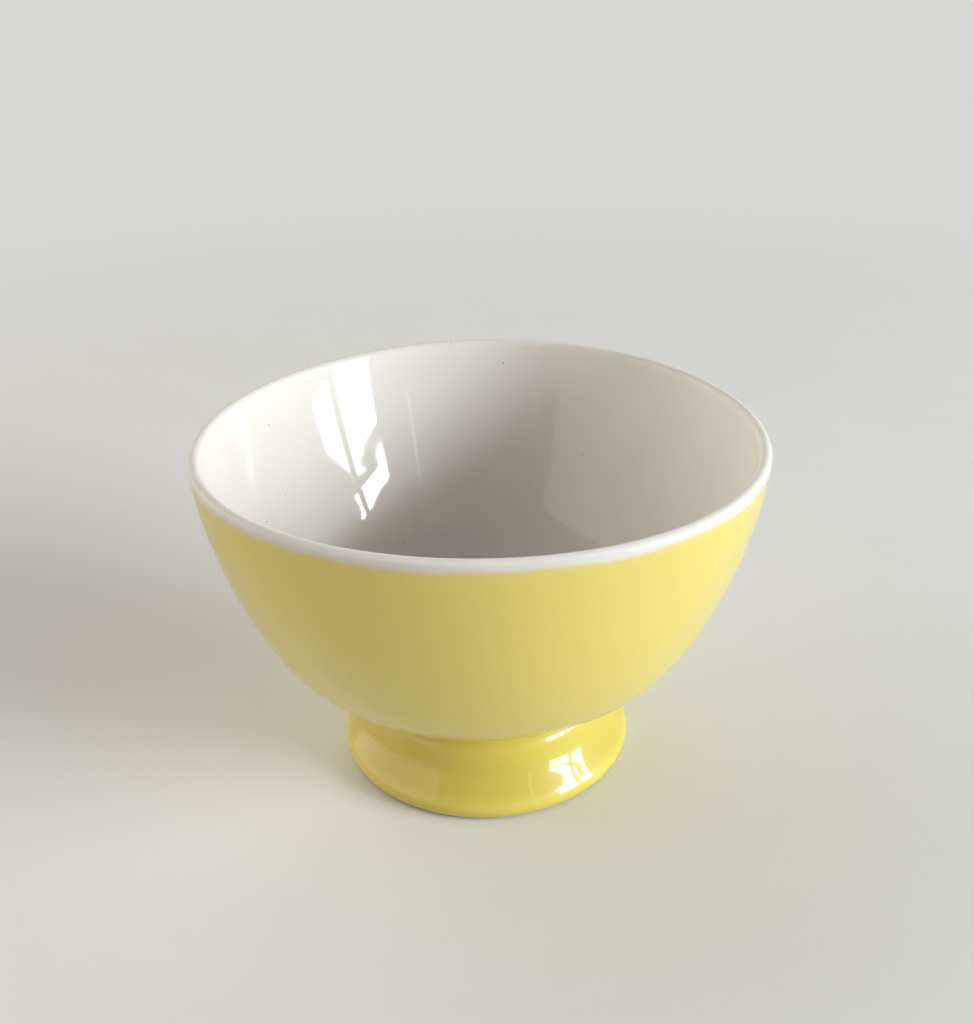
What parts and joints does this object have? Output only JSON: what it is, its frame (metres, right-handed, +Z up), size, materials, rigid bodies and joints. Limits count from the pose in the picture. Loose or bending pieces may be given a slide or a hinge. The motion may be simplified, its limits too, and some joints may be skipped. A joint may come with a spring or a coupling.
{
  "type": "latte bowl",
  "caption": "Footed bowl for milky coffee, in glazed ceramic: flared yellow outside, off-white inside lapping over a thin rounded lip, on a turned foot ring that ends in a bead",
  "frame": {"origin": "centre of the ring that the bowl stands on, on the table", "axes": "+Z is up along the bowl's axis of revolution; +X and +Y are any two square directions, because the bowl is round. The picture is taken looking along +Y, with +X to its right."},
  "size_m": [0.14, 0.14, 0.09],
  "materials": {
    "fired_clay": "matte, fine-grained, bare only on the ring that the bowl stands on",
    "slip": "matte",
    "white_glaze": "glossy warm off-white with a few fine dark specks",
    "yellow_wall_glaze": "glossy pale yellow with a soft, slightly wavy upper edge",
    "yellow_foot_glaze": "very glossy, deeper yellow where the glaze lies thicker"
  },
  "bodies": {
    "root": {"bowl_body": "fired_clay", "foot_ring": "fired_clay", "luting_slip": "slip", "liner_glaze": "white_glaze", "wall_glaze": "yellow_wall_glaze", "foot_glaze": "yellow_foot_glaze", "hollow_glaze": "yellow_foot_glaze"}
  },
  "joints": []
}
